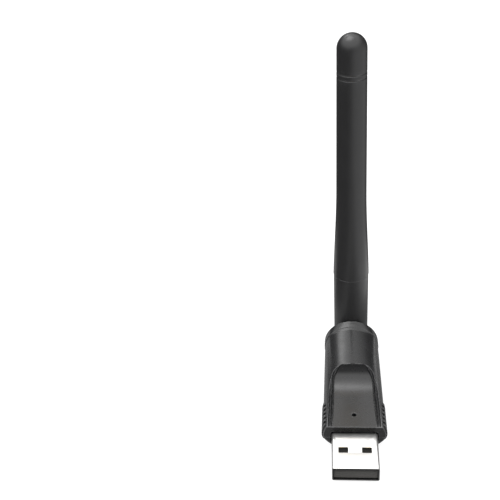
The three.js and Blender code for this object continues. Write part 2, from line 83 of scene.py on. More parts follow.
FRONT_HALF_WIDTH, REAR_HALF_WIDTH = 8.3, 7.65
FRONT_UPPER, LIP_UPPER, REAR_UPPER = 7.9, 8.3, 7.65
FRONT_LOWER, REAR_LOWER = 5.3, 7.65
FRONT_CENTRE_Z, REAR_CENTRE_Z = 3.9, 6.35
WALL, FLOOR, REAR_WALL = 1.2, 1.1, 1.4
HOLLOW_ROUND = 0.4
RIM_Z = 7.55
BARREL_Z, CROWN_RADIUS = 13.0, 24.0
COLLAR_START, COLLAR_END = 33.2, 34.3
COLLAR_RISE, COLLAR_PROUD = 0.95, 0.14
RISER_STEEPNESS = 0.75
RISER_ROUND, COLLAR_TOP_ROUND = 0.12, 0.25
COLLAR_EDGE, COLLAR_FOOT = 0.12, 0.05
SLOPE_ROUND, CROWN_ROUND_LIP, CROWN_ROUND_COLLAR = 0.3, 0.9, 2.2
BASE_ROUND, REAR_ROUND, RECESS_EDGE = 0.5, 0.35, 0.16
FRONT_ROUND, FRONT_ROUND_BELOW = 0.25, 1.5
FRONT_ROUND_FROM, FRONT_ROUND_TO = 1.5, 5.0
LIP = 18.7
RAMP_START, RAMP_RADIUS = 11.2, 10.8
RAMP_TOP_FILLET = 2.2
LIP_CORNER = 2.6
TERRACES = ((5.75, 5.1, 0.0), (6.35, 5.6, 0.075), (6.95, 6.15, 0.15))
CHANNEL_DEPTH, TERRACE_ROUND = 0.4, 0.1
CHANNEL_START, CHANNEL_FULL = 0.1, 0.9
SLOPE_ENDS = ((0.0, RIM_Z), (10.0, 9.6), (15.5, 12.9), (19.1, 13.3))
LED_STATION, LED_RADIUS = 4.6, 0.62
GRIP_COUNT, GRIP_PITCH, GRIP_WIDTH, GRIP_FIRST = 6, 1.5, 0.85, 1.5
GRIP_PROUD, GRIP_LOW, GRIP_HIGH = 0.36, 1.9, 7.3
GRIP_ROUND, GRIP_END_ROUND = 0.15, 0.4
NOTCH_DEPTH, NOTCH_HIGH, NOTCH_ROUND = 0.42, 7.75, 0.1
PARTING_GAP, PARTING_EDGE = 0.05, 0.1
PLUG_HOLE_GAP, PLUG_HOLE_EDGE = 0.25, 0.14
SWIVEL_HOLE, SWIVEL_HOLE_REACH = 2.8, 3
LED_HOLE_REACH, LED_HOLE_EDGE = 2, 0.12
INNER_EDGE, DRILL_END = 0.2, 0.1
STOP_RIB_ANGLES, STOP_RIB_WIDTH = (163, 287), 0.8
STOP_RIB_INNER, STOP_RIB_OUTER = 4.1, 6.6
STOP_RIB_LENGTH, STOP_RIB_ROOT = 1.15, 0.3

# ---------------------------------------------------------------- plug dimensions

PLUG_WALL = 0.3
PLUG_CORNER = 0.6
FOLD_WIDTH, FOLD_DEPTH = 0.07, 0.15
SHEET_EDGE, BEVEL_SEGMENTS = 0.09, 3
WINDOW_WIDTH, WINDOW_LENGTH, WINDOW_CORNER = 2.5, 1.95, 0.22
WINDOW_FROM_MOUTH, WINDOW_SPACING = 5.16, 6.0
TONGUE_TOP, TONGUE_THICKNESS = 3.49, 1.84
TONGUE_WIDTH, TONGUE_CHAMFER = 11.1, 0.4
BLADE_SHORT, TONGUE_EDGE, BLOCK_FILLET, SLOT_EDGE = 1, 0.15, 0.3, 0.05
BLOCK_CLEARANCE = 0.1
CONTACTS = [f"usb_contact_{i}" for i in range(1, 5)]
BLOCK_FROM_MOUTH = 11.4
ROOT_INSET, ROOT_GAP = 0.1, 0.05
CONTACT_DIVE, CONTACT_THICKNESS, CONTACT_GAP = 7.0, 0.2, 0.06
OVERCUT = 1

# ---------------------------------------------------------------- antenna dimensions

TIP_RADIUS = 3.77
TAPER = 0.007
SWELL, SWELL_START, SWELL_END = 0.83, 23.0, 55.0
RING_TOPS, RING_WIDTH, RING_DEPTH = (88.97, 87.67), 0.34, 0.14
RING_ABOVE, RING_BELOW = 0.35, 1.35
KNUCKLE_RADIUS = 4.92
SEAM_OPENING, SEAM_ROUND = 0.07, 0.08
BOSS_RADIUS, BOSS_START, BOSS_EDGE, BOSS_FILLET = 4.6, 0.2, 0.25, 0.6
SPIGOT_RADIUS, SPIGOT_BORE, SPIGOT_EDGE = 2.5, 1.4, 0.2
FLANGE_RADIUS, FLANGE_LENGTH, FLANGE_EDGE = 3.7, 0.8, 0.15
NECK_RADIUS, NECK_EDGE, SMALL_FILLET = 2.7, 0.3, 0.1
SLEEVE_BORE, SOCKET_RADIUS, SOCKET_TOP = 2.8, 3.0, 37.5
BORE_TOP, BORE_CONE, SOCKET_CHAMFER = 94.2, 1.5, 0.1
LUG_ANGLE, LUG_WIDTH, LUG_REACH = 180, 1.4, 4.8

# ---------------------------------------------------------------- mesh sizes
# A grid starts a broken number of cells outside its piece, so that flat faces miss its points. The
# shares kept are what thinning leaves of each mesh. The edge mark, which carries wear and painted
# edge light, grows between two bends, in radians per millimetre. Shading breaks at corners sharper
# than the angles in degrees, and the plug's sheet is bevelled at such corners.

CASE_CELL, QUICK_CASE_CELL, TONGUE_CELL, KNUCKLE_CELL = 0.14, 0.25, 0.12, 0.2
CASE_HALF_WIDTH, CASE_MARGIN = 9.2, 0.5
GRID_SHIFT, LEAST_SLOPE = 2.37, 0.2
TOP_KEPT, BOTTOM_KEPT, SMALL_KEPT = 0.5, 0.4, 0.5
EDGE_MARK_FROM, EDGE_MARK_FULL = 0.5, 2.2
SLEEVE_SIDES, DOME_STEPS, LIP_STEPS, RING_STEPS = 128, 24, 4, 13
SLEEVE_STEP = 1.2
SLEEVE_BREAK, PLUG_BREAK, BEVEL_ANGLE = 35, 40, 50

# ---------------------------------------------------------------- camera
# Where the photograph was taken from, in metres, with its turn away from +Y, tilt down and roll.

CAMERA_PLACE = Vector((-0.005212, -0.174315, 0.170405))
CAMERA_PITCH = math.radians(33.98)
CAMERA_YAW = math.radians(-6.718)
CAMERA_ROLL = math.radians(4.385)
CAMERA_LENS, CAMERA_SENSOR = 60.96, 36
CAMERA_NEAREST = 0.01


def add_camera():
    """The yaw and pitch give the view's direction, and the roll turns the picture about it."""
    forward = Vector((
        math.sin(CAMERA_YAW) * math.cos(CAMERA_PITCH),
        math.cos(CAMERA_YAW) * math.cos(CAMERA_PITCH),
        -math.sin(CAMERA_PITCH),
    ))
    level = Vector((math.cos(CAMERA_YAW), -math.sin(CAMERA_YAW), 0))
    down = forward.cross(level)
    right = level * math.cos(CAMERA_ROLL) + down * math.sin(CAMERA_ROLL)
    below = down * math.cos(CAMERA_ROLL) - level * math.sin(CAMERA_ROLL)
    data = bpy.data.cameras.new("camera")
    data.lens = CAMERA_LENS
    data.sensor_width = CAMERA_SENSOR
    data.clip_start = CAMERA_NEAREST
    camera = bpy.data.objects.new("camera", data)
    bpy.context.scene.collection.objects.link(camera)
    turn = Matrix((right, -below, -forward)).transposed().to_4x4()
    camera.matrix_world = Matrix.Translation(CAMERA_PLACE) @ turn
    bpy.context.scene.camera = camera


# ---------------------------------------------------------------- distance functions
# Each takes points (n, 3) and gives a distance, negative inside.


def meet(a, b, r):
    """The part inside both, with its edge rounded over about r."""
    h = np.clip(r - np.abs(a - b), 0, None) / r
    return np.maximum(a, b) + h * h * r / 4


def join(a, b, r):
    """The two together, with a fillet of about r where they meet."""
    return -meet(-a, -b, r)


def cut(a, b, r):
    """a without b, with its edge rounded over about r."""
    return meet(a, -b, r)


def corner_distance(a, b, r):
    """Inside both half-planes a and b, with a true arc of radius r in the corner."""
    u = a + r
    v = b + r
    outside = np.hypot(np.maximum(u, 0), np.maximum(v, 0))
    return outside + np.minimum(np.maximum(u, v), 0) - r


def smoothstep(low, high, t):
    t = np.clip((t - low) / (high - low), 0, 1)
    return t * t * (3 - 2 * t)


def block(p, low, high):
    centre = (np.array(low) + np.array(high)) / 2
    half = (np.array(high) - np.array(low)) / 2
    q = np.abs(p - centre) - half
    return np.linalg.norm(np.maximum(q, 0), axis=1) + np.minimum(q.max(axis=1), 0)


def rod_along(p, radius, start, end, r):
    """A cylinder along Y on the hinge's axis."""
    around = np.hypot(p[:, 0], p[:, 2] - PIVOT[2]) - radius
    return meet(around, np.maximum(start - p[:, 1], p[:, 1] - end), r)


def rod_up(p, radius, low, high, r, y=AXIS_Y):
    around = np.hypot(p[:, 0], p[:, 1] - y) - radius
    return meet(around, np.maximum(low - p[:, 2], p[:, 2] - high), r)


# ---------------------------------------------------------------- case


def along_case(station, front, rear):
    return front + (rear - front) * station / LENGTH


def case_tube(p, grow=0.0):
    """The case's elliptical section, which changes evenly from front to rear."""
    s = p[:, 1] - FRONT
    centre = along_case(s, FRONT_CENTRE_Z, REAR_CENTRE_Z)
    across = along_case(s, FRONT_HALF_WIDTH, REAR_HALF_WIDTH) + grow
    upper = np.interp(s, (0, LIP, LENGTH), (FRONT_UPPER, LIP_UPPER, REAR_UPPER))
    lower = along_case(s, FRONT_LOWER, REAR_LOWER)
    dz = p[:, 2] - centre
    reach = np.where(dz > 0, upper, lower) + grow
    near = np.hypot(p[:, 0] / across, dz / reach)
    steep = np.hypot(p[:, 0] / across**2, dz / reach**2)
    return near * (near - 1) / np.maximum(steep, TINY)


def bezier_line(ends, count=24):
    t = np.linspace(0, 1, count)[:, None]
    a, b, c, d = (np.array(end) for end in ends)
    return (1 - t) ** 3 * a + 3 * (1 - t) ** 2 * t * b + 3 * (1 - t) * t**2 * c + t**3 * d


def above_line(p, stations, heights):
    """Height over a line drawn along the case, corrected for its slope."""
    s = p[:, 1] - FRONT
    slope = np.interp(s, stations, np.gradient(heights, stations))
    return (p[:, 2] - np.interp(s, stations, heights)) / np.sqrt(1 + slope**2)


def case_top(p):
    """Over the case's top line: the slopes beside the recess, the barrel and the collar's riser."""
    s = p[:, 1] - FRONT
    slope = bezier_line(SLOPE_ENDS)
    beside = above_line(p, slope[:, 0], slope[:, 1])
    riser_height = BARREL_Z + COLLAR_RISE * (s - COLLAR_START) / (COLLAR_END - COLLAR_START)
    riser = (p[:, 2] - riser_height) * RISER_STEEPNESS
    crowned = p[:, 2] - BARREL_Z + p[:, 0] ** 2 / (2 * CROWN_RADIUS)
    barrel = join(crowned, riser, RISER_ROUND)
    collar = join(barrel, COLLAR_END - s, COLLAR_TOP_ROUND)
    return np.where(s < LIP, beside, collar)


def recess(p):
    """The thumb recess: deck, concave ramp and channelled terraces down both sides."""
    s = p[:, 1] - FRONT
    x = np.abs(p[:, 0])
    fade = smoothstep(CHANNEL_START, CHANNEL_FULL, s)
    whole = np.full(len(p), np.inf)
    inner = 0.0
    for front, rear, rise in TERRACES:
        half = front + (rear - front) * s / LIP
        plan_view = corner_distance(s - LIP, x - half, LIP_CORNER)
        across = np.clip(-plan_view / np.maximum(half - inner, NEAR_ZERO), 0, 1)
        channel = CHANNEL_DEPTH * np.sin(math.pi * across) ** 2 * fade if rise else 0
        floor = RIM_Z + rise * s - channel
        ramp = corner_distance(s - RAMP_START - RAMP_RADIUS, floor - p[:, 2], RAMP_RADIUS)
        side_view = meet(ramp, s - LIP, RAMP_TOP_FILLET)
        whole = np.minimum(whole, meet(side_view, plan_view, TERRACE_ROUND))
        inner = half
    return whole


def grips(p):
    """Ribs that stand proud of both flanks."""
    s = p[:, 1] - FRONT - GRIP_FIRST
    nearest = np.clip(np.round(s / GRIP_PITCH), 0, GRIP_COUNT - 1)
    along = np.abs(s - nearest * GRIP_PITCH) - GRIP_WIDTH / 2
    height = np.maximum(GRIP_LOW - p[:, 2], p[:, 2] - GRIP_HIGH)
    return meet(meet(case_tube(p, GRIP_PROUD), along, GRIP_ROUND), height, GRIP_END_ROUND)


def grip_notches(p):
    """The gaps between the ribs, cut a little below the flank."""
    s = p[:, 1] - FRONT - GRIP_FIRST - GRIP_PITCH / 2
    nearest = np.clip(np.round(s / GRIP_PITCH), 0, GRIP_COUNT - 2)
    along = np.abs(s - nearest * GRIP_PITCH) - (GRIP_PITCH - GRIP_WIDTH) / 2
    height = np.maximum(GRIP_LOW - p[:, 2], p[:, 2] - NOTCH_HIGH)
    return meet(meet(-case_tube(p, -NOTCH_DEPTH), along, NOTCH_ROUND), height, GRIP_ROUND)


def case_outside(p):
    """The case as one solid: tube, collar step, grips, top line, recess and rounded ends."""
    s = p[:, 1] - FRONT
    crown = np.interp(s, (LIP, COLLAR_START), (CROWN_ROUND_LIP, CROWN_ROUND_COLLAR))
    crown = np.where(s < LIP, SLOPE_ROUND, crown)
    tube = join(case_tube(p), grips(p), NOTCH_ROUND)
    collar = meet(case_tube(p, COLLAR_PROUD), COLLAR_START - s, COLLAR_EDGE)
    tube = join(tube, collar, COLLAR_FOOT)
    body = cut(meet(tube, case_top(p), crown), grip_notches(p), NOTCH_ROUND)
    body = meet(body, -p[:, 2], BASE_ROUND)
    below = 1 - smoothstep(FRONT_ROUND_FROM, FRONT_ROUND_TO, p[:, 2])
    body = cut(body, recess(p), RECESS_EDGE)
    body = meet(body, -s, FRONT_ROUND + FRONT_ROUND_BELOW * below)
    return meet(body, s - LENGTH, REAR_ROUND)


def case_hollow(p):
    """The room inside, which keeps a wall under the deck, behind the ramp and all round."""
    s = p[:, 1] - FRONT
    roof = BARREL_Z - WALL
    inside = meet(case_tube(p, -WALL), np.maximum(FLOOR - p[:, 2], p[:, 2] - roof), HOLLOW_ROUND)
    inside = meet(inside, np.maximum(WALL - s, s - LENGTH + REAR_WALL), HOLLOW_ROUND)
    bend = RAMP_RADIUS + WALL
    under_ramp = corner_distance(s - RAMP_START - bend, RIM_Z - WALL - p[:, 2], bend)
    return cut(inside, meet(under_ramp, s - LIP - WALL, HOLLOW_ROUND), HOLLOW_ROUND)


def radial_bar(p, angle, inner, outer, width, start, end):
    """A bar that points out from the hinge's axis, at an angle from straight up."""
    turn = math.radians(angle)
    out = (math.sin(turn), math.cos(turn))
    x = p[:, 0]
    z = p[:, 2] - PIVOT[2]
    away = -x * out[0] + z * out[1]
    side = x * out[1] + z * out[0]
    ends = [inner - away, away - outer, start - p[:, 1], p[:, 1] - end]
    return np.maximum.reduce([*ends, np.abs(side) - width / 2])


def stop_ribs(p):
    """The two ribs inside the rear wall that stop the antenna's lug."""
    wall = CASE_HIGH[1] - REAR_WALL
    start, end = wall - STOP_RIB_LENGTH, wall + STOP_RIB_ROOT
    return np.minimum(*(
        radial_bar(p, angle, STOP_RIB_INNER, STOP_RIB_OUTER, STOP_RIB_WIDTH, start, end)
        for angle in STOP_RIB_ANGLES
    ))


def plug_hole(p):
    """The opening in the front wall, a little larger than the plug."""
    q = np.abs(p[:, [0, 2]] - (0, PLUG_CENTRE_Z))
    half_width = (PLUG_HIGH[0] - PLUG_LOW[0]) / 2 + PLUG_HOLE_GAP
    half_height = (PLUG_HIGH[2] - PLUG_LOW[2]) / 2 + PLUG_HOLE_GAP
    around = corner_distance(q[:, 0] - half_width, q[:, 1] - half_height, PLUG_CORNER + PLUG_HOLE_GAP)
    return np.maximum(around, p[:, 1] - PLUG_HIGH[1] - PLUG_HOLE_GAP)


def whole_case(p):
    """Both shells in one, hollow, with the ribs inside and the three openings."""
    shell = cut(case_outside(p), case_hollow(p), INNER_EDGE)
    ribs = meet(stop_ribs(p), case_outside(p) + WALL / 2, INNER_EDGE)
    shell = join(shell, ribs, INNER_EDGE)
    shell = cut(shell, plug_hole(p), PLUG_HOLE_EDGE)
    start, end = CASE_HIGH[1] - SWIVEL_HOLE_REACH, CASE_HIGH[1] + SWIVEL_HOLE_REACH
    shell = cut(shell, rod_along(p, SWIVEL_HOLE, start, end, DRILL_END), INNER_EDGE)
    low, high = RIM_Z - LED_HOLE_REACH, RIM_Z + LED_HOLE_REACH
    hole = rod_up(p, LED_RADIUS, low, high, DRILL_END, FRONT + LED_STATION)
    return cut(shell, hole, LED_HOLE_EDGE)


def over_parting(p):
    """Height over the parting line, which climbs from the plug to the pivot."""
    slope = (REAR_CENTRE_Z - FRONT_CENTRE_Z) / LENGTH
    line = along_case(p[:, 1] - FRONT, FRONT_CENTRE_Z, REAR_CENTRE_Z)
    return (p[:, 2] - line) / math.hypot(1, slope)


def upper_shell(p):
    return meet(whole_case(p), PARTING_GAP - over_parting(p), PARTING_EDGE)


def lower_shell(p):
    return meet(whole_case(p), over_parting(p) + PARTING_GAP, PARTING_EDGE)


# ---------------------------------------------------------------- plug's tongue and antenna's knuckle


def contact_slot(p, contact):
    """The groove in which a contact lies, the well where it dives and the tunnel behind."""
    low, high = corners(contact)
    low, high = low - CONTACT_GAP, high + CONTACT_GAP
    groove_end = PLUG_LOW[1] + CONTACT_DIVE + CONTACT_GAP
    well_start = groove_end - CONTACT_THICKNESS - 2 * CONTACT_GAP
    under = high[2] - CONTACT_THICKNESS - 2 * CONTACT_GAP
    over = low[2] + CONTACT_THICKNESS + 2 * CONTACT_GAP
    above = TONGUE_TOP + OVERCUT
    groove = block(p, (low[0], low[1], under), (high[0], groove_end, above))
    well = block(p, (low[0], well_start, low[2]), (high[0], groove_end, above))
    tunnel = block(p, (low[0], well_start, low[2]), (high[0], TONGUE_HIGH[1] + OVERCUT, over))
    return np.minimum(groove, np.minimum(well, tunnel))


def usb_tongue(p):
    """The blade that carries the contacts, and the block behind it that fills the plug."""
    front = TONGUE_LOW[1]
    blade = block(
        p,
        (-TONGUE_WIDTH / 2, front, TONGUE_TOP - TONGUE_THICKNESS),
        (TONGUE_WIDTH / 2, TONGUE_HIGH[1] - BLADE_SHORT, TONGUE_TOP),
    )
    chamfer = (p[:, 2] - TONGUE_TOP - p[:, 1] + front + TONGUE_CHAMFER) / math.sqrt(2)
    blade = meet(blade, chamfer, TONGUE_EDGE)
    inset = PLUG_WALL + BLOCK_CLEARANCE
    root = block(
        p,
        (PLUG_LOW[0] + inset, PLUG_LOW[1] + BLOCK_FROM_MOUTH, PLUG_LOW[2] + inset),
        (PLUG_HIGH[0] - inset, TONGUE_HIGH[1], PLUG_HIGH[2] - inset),
    )
    body = join(blade, root, BLOCK_FILLET)
    for contact in CONTACTS:
        body = cut(body, contact_slot(p, contact), SLOT_EDGE)
    return body


def antenna_knuckle(p):
    """The antenna's foot, with its boss, neck, hollow spigot, flange and stop lug."""
    z = p[:, 2]
    foot = np.maximum(PIVOT[2] - z, 0)
    round_foot = np.sqrt(p[:, 0] ** 2 + (p[:, 1] - AXIS_Y) ** 2 + foot**2) - KNUCKLE_RADIUS
    body = meet(round_foot, z - SLEEVE_LOW[2] + SEAM_OPENING, SEAM_ROUND)
    boss = rod_along(p, BOSS_RADIUS, CASE_HIGH[1] + BOSS_START, AXIS_Y, BOSS_EDGE)
    body = join(body, boss, BOSS_FILLET)
    neck = rod_up(p, NECK_RADIUS, PIVOT[2], KNUCKLE_HIGH[2], NECK_EDGE)
    body = join(body, neck, SMALL_FILLET)
    start = KNUCKLE_LOW[1]
    flange_end = start + FLANGE_LENGTH
    body = join(body, rod_along(p, SPIGOT_RADIUS, start, AXIS_Y, SPIGOT_EDGE), SPIGOT_EDGE)
    flange = rod_along(p, FLANGE_RADIUS, start, flange_end, FLANGE_EDGE)
    body = join(body, flange, SMALL_FILLET)
    lug = radial_bar(p, LUG_ANGLE, 0, LUG_REACH, LUG_WIDTH, start, flange_end)
    body = join(body, lug, FLANGE_EDGE)
    bore = rod_along(p, SPIGOT_BORE, start - OVERCUT, AXIS_Y, DRILL_END)
    body = cut(body, bore, FLANGE_EDGE)
    upper_bore = rod_up(p, SPIGOT_BORE, PIVOT[2], KNUCKLE_HIGH[2] + OVERCUT, DRILL_END)
    return cut(body, upper_bore, FLANGE_EDGE)


# ---------------------------------------------------------------- meshing


def field_values(field, axes):
    """The field on a grid, one slab at a time."""
    values = np.empty([len(axis) for axis in axes])
    rest = np.stack(np.meshgrid(axes[1], axes[2], indexing="ij"), axis=-1).reshape(-1, 2)
    for i, x in enumerate(axes[0]):
        points = np.column_stack([np.full(len(rest), x), rest])
        values[i] = field(points).reshape(values.shape[1:])
    return values


def surface_net(field, low, high, cell):
    """Quads round field = 0, with one point in every grid cell that the surface crosses."""
    start = np.array(low) - GRID_SHIFT * cell
    counts = np.ceil((np.array(high) - start) / cell + 3).astype(int)
    axes = [start[i] + cell * np.arange(counts[i]) for i in range(3)]
    values = field_values(field, axes)
    cells, spots, quads = [], [], []
    for axis in range(3):
        a = np.moveaxis(values, axis, 0)[:-1]
        b = np.moveaxis(values, axis, 0)[1:]
        hits = np.argwhere((a < 0) != (b < 0))
        before = a[tuple(hits.T)]
        after = b[tuple(hits.T)]
        order = [1, 2]
        order.insert(axis, 0)
        nodes = hits[:, order]
        spot = nodes.astype(float)
        spot[:, axis] += before / (before - after)
        u, v = (axis + 1) % 3, (axis + 2) % 3
        around = []
        for du, dv in ((0, 0), (1, 0), (1, 1), (0, 1)):
            corner = nodes.copy()
            corner[:, u] -= du
            corner[:, v] -= dv
            around.append(np.ravel_multi_index(corner.T, counts))
        around = np.array(around).T
        around[before > 0] = around[before > 0][:, ::-1]
        quads.append(around)
        cells.append(around.ravel())
        spots.append(np.repeat(spot, 4, axis=0))
    ids, index = np.unique(np.concatenate(cells), return_inverse=True)
    spots = np.concatenate(spots)
    total = np.bincount(index)
    points = np.column_stack([np.bincount(index, spots[:, i]) / total for i in range(3)])
    quads = np.searchsorted(ids, np.concatenate(quads))
    return start + points * cell, quads


def gradient(field, points, step=0.02):
    slopes = []
    for axis in range(3):
        move = np.zeros(3)
        move[axis] = step
        slopes.append((field(points + move) - field(points - move)) / (2 * step))
    return np.column_stack(slopes)


def onto_surface(field, points, limit, rounds=3):
    """Points moved along the field's slope until they lie on its surface."""
    for _ in range(rounds):
        slope = gradient(field, points)
        size = np.maximum((slope**2).sum(axis=1), LEAST_SLOPE)
        move = -slope * (field(points) / size)[:, None]
        length = np.linalg.norm(move, axis=1, keepdims=True)
        points = points + move * np.minimum(1, limit / np.maximum(length, TINY))
    return points


def new_object(name, points, faces):
    mesh = bpy.data.meshes.new(name)
    mesh.from_pydata((np.asarray(points) * MM).tolist(), [], [list(face) for face in faces])
    mesh.update()
    piece = bpy.data.objects.new(name, mesh)
    bpy.context.scene.collection.objects.link(piece)
    return piece


def apply_modifiers(piece):
    graph = bpy.context.evaluated_depsgraph_get()
    mesh = bpy.data.meshes.new_from_object(piece.evaluated_get(graph))
    piece.modifiers.clear()
    piece.data = mesh
    return piece


def vertex_array(mesh, kind="co"):
    values = np.zeros(len(mesh.vertices) * 3, np.float32)
    if kind == "co":
        mesh.vertices.foreach_get("co", values)
    else:
        mesh.vertex_normals.foreach_get("vector", values)
    return values.reshape(-1, 3).astype(float)


def mark_edges(mesh, normals):
    """Stores how sharply the surface bends outwards at each point, for wear and painted edge light
    along the edges.
    """
    ends = np.zeros(len(mesh.edges) * 2, np.int32)
    mesh.edges.foreach_get("vertices", ends)
    a, b = ends.reshape(-1, 2).T
    points = vertex_array(mesh) / MM
    gap = points[b] - points[a]
    bend = ((normals[b] - normals[a]) * gap).sum(axis=1) / np.maximum((gap**2).sum(axis=1), NEAR_ZERO)
    count = np.bincount(ends, minlength=len(points))
    total = np.bincount(a, bend, len(points)) + np.bincount(b, bend, len(points))
    wear = smoothstep(EDGE_MARK_FROM, EDGE_MARK_FULL, total / np.maximum(count, 1))
    attribute = mesh.attributes.new("edge", "FLOAT", "POINT")
    attribute.data.foreach_set("value", wear.astype(np.float32))


def rounded_solid(name, field, low, high, cell, keep):
    """A piece meshed from its distance function, thinned where it is flat, with exact normals."""
    points, quads = surface_net(field, low, high, cell)
    points = onto_surface(field, points, cell / 2)
    piece = new_object(name, points, quads)
    thin = piece.modifiers.new("thin", "DECIMATE")
    thin.ratio = keep
    apply_modifiers(piece)
    mesh = piece.data
    points = onto_surface(field, vertex_array(mesh) / MM, cell / 4, 1)
    mesh.vertices.foreach_set("co", (points * MM).astype(np.float32).ravel())
    mesh.update()
    slope = gradient(field, points)
    normals = slope / np.maximum(np.linalg.norm(slope, axis=1, keepdims=True), TINY)
    mark_edges(mesh, normals)
    mesh.polygons.foreach_set("use_smooth", [True] * len(mesh.polygons))
    mesh.normals_split_custom_set_from_vertices(normals.tolist())
    return piece


# ---------------------------------------------------------------- turned sleeve


def sleeve_radius(z):
    """Slightly tapered, and swelling smoothly to the foot's own thickness at the seam."""
    straight = TIP_RADIUS + TAPER * (SLEEVE_HIGH[2] - TIP_RADIUS - z)
    return straight + SWELL * (1 - smoothstep(SWELL_START, SWELL_END, z))


def sleeve_profile():
    """[radius, height] from the seam up the outside, over the tip and down the bore."""
    seam = SLEEVE_LOW[2]
    outside = [
        [sleeve_radius(seam) - SEAM_ROUND * (1 - math.sin(a)), seam + SEAM_ROUND * (1 - math.cos(a))]
        for a in np.linspace(0, math.pi / 2, LIP_STEPS + 1)
    ]
    breaks = [seam + 2 * SEAM_ROUND]
    for ring in reversed(RING_TOPS):
        breaks += [ring - RING_BELOW * RING_WIDTH, ring + RING_ABOVE * RING_WIDTH]
    for start, end in zip(breaks, breaks[1:] + [SLEEVE_HIGH[2] - TIP_RADIUS], strict=True):
        steps = max(2, round((end - start) / SLEEVE_STEP))
        in_ring = end - start < 2 * RING_WIDTH
        for t in np.linspace(0, 1, RING_STEPS if in_ring else steps, endpoint=False):
            z = start + (end - start) * t
            dip = RING_DEPTH * math.sin(math.pi * t) ** 2 if in_ring else 0
            outside.append([sleeve_radius(z) - dip, z])
    dome = [
        [TIP_RADIUS * math.cos(a), SLEEVE_HIGH[2] - TIP_RADIUS + TIP_RADIUS * math.sin(a)]
        for a in np.linspace(0, math.pi / 2, DOME_STEPS + 1)
    ]
    bore = [[0, BORE_TOP], [SLEEVE_BORE, BORE_TOP - BORE_CONE], [SLEEVE_BORE, SOCKET_TOP]]
    socket = [
        [SOCKET_RADIUS, SOCKET_TOP],
        [SOCKET_RADIUS, seam + SOCKET_CHAMFER],
        [SOCKET_RADIUS + SOCKET_CHAMFER, seam],
    ]
    return outside + dome + bore + socket


def turned(name, profile, sides):
    """A profile of [radius, height] turned about the antenna's axis. It touches the axis twice."""
    points, rows, faces = [], [], []
    for radius, height in profile:
        count = 1 if radius < NEAR_ZERO else sides
        rows.append(list(range(len(points), len(points) + count)))
        for i in range(count):
            a = 2 * math.pi * i / sides
            points.append((radius * math.cos(a), AXIS_Y + radius * math.sin(a), height))
    for low, high in zip(rows, rows[1:] + rows[:1], strict=True):
        for i in range(sides):
            j = (i + 1) % sides
            ring = [low[i % len(low)], low[j % len(low)], high[j % len(high)], high[i % len(high)]]
            face = [v for k, v in enumerate(ring) if v != ring[k - 1]]
            if len(face) > 2:
                faces.append(face)
    piece = new_object(name, points, faces)
    return finish_smooth(piece, SLEEVE_BREAK)


def finish_smooth(piece, angle):
    """Smooth shading with real breaks at sharp corners, and the edge mark."""
    mesh = piece.data
    mark_edges(mesh, vertex_array(mesh, "normal"))
    mesh.polygons.foreach_set("use_smooth", [True] * len(mesh.polygons))
    mesh.set_sharp_from_angle(angle=math.radians(angle))
    return piece


# ---------------------------------------------------------------- sheet-metal plug shell


def rounded_loop(width, height, radius, middle, steps=6):
    """Points round a rounded rectangle, anticlockwise, one quarter turn at each corner."""
    loop = []
    for turn, across, up in ((0, 1, 1), (1, -1, 1), (2, -1, -1), (3, 1, -1)):
        for i in range(steps + 1):
            a = math.pi / 2 * (turn + i / steps)
            loop.append((
                middle[0] + across * (width / 2 - radius) + radius * math.cos(a),
                middle[1] + up * (height / 2 - radius) + radius * math.sin(a),
            ))
    return loop


def prism(name, loop, low, high, along_y=False):
    """A closed loop drawn out straight up, or along Y with the loop's second axis up."""
    points = [(-u, t, v) if along_y else (u, v, t) for t in (low, high) for u, v in loop]
    count = len(loop)
    sides = [(i, (i + 1) % count, count + (i + 1) % count, count + i) for i in range(count)]
    caps = [tuple(reversed(range(count))), tuple(range(count, 2 * count))]
    return new_object(name, points, sides + caps)


def plug_prism(name, inset, start, end):
    size = PLUG_HIGH - PLUG_LOW - 2 * inset
    loop = rounded_loop(size[0], size[2], PLUG_CORNER - inset, (0, PLUG_CENTRE_Z))
    return prism(name, loop, start, end, True)


def combine(piece, tool, operation):
    """Joins a tool to a piece or cuts it away, and removes the tool."""
    boolean = piece.modifiers.new("combine", "BOOLEAN")
    boolean.operation = operation
    boolean.solver = "EXACT"
    boolean.object = tool
    apply_modifiers(piece)
    bpy.data.objects.remove(tool)


def usb_shell():
    """Folded sheet, open at both ends, with four windows and the fold's seam underneath."""
    mouth, root = PLUG_LOW[1], PLUG_HIGH[1]
    shell = plug_prism("plug_shell", 0, mouth, FRONT - ROOT_GAP)
    combine(shell, plug_prism("root", ROOT_INSET, mouth + OVERCUT, root), "UNION")
    combine(shell, plug_prism("inside", PLUG_WALL, mouth - OVERCUT, root + OVERCUT), "DIFFERENCE")
    under, over = PLUG_LOW[2] - OVERCUT, PLUG_HIGH[2] + OVERCUT
    middle_y = mouth + WINDOW_FROM_MOUTH + WINDOW_LENGTH / 2
    for side in (-1, 1):
        middle = (side * WINDOW_SPACING / 2, middle_y)
        window = rounded_loop(WINDOW_WIDTH, WINDOW_LENGTH, WINDOW_CORNER, middle)
        combine(shell, prism("window", window, under, over), "DIFFERENCE")
    seam_middle = (0, (mouth + root) / 2)
    seam = rounded_loop(FOLD_WIDTH, root - mouth + 2 * OVERCUT, FOLD_WIDTH / 3, seam_middle)
    combine(shell, prism("seam", seam, under, PLUG_LOW[2] + FOLD_DEPTH), "DIFFERENCE")
    bevel = shell.modifiers.new("edge", "BEVEL")
    bevel.width = SHEET_EDGE * MM
    bevel.segments = BEVEL_SEGMENTS
    bevel.limit_method = "ANGLE"
    bevel.angle_limit = math.radians(BEVEL_ANGLE)
    bevel.use_clamp_overlap = True
    apply_modifiers(shell)
    return finish_smooth(shell, PLUG_BREAK)
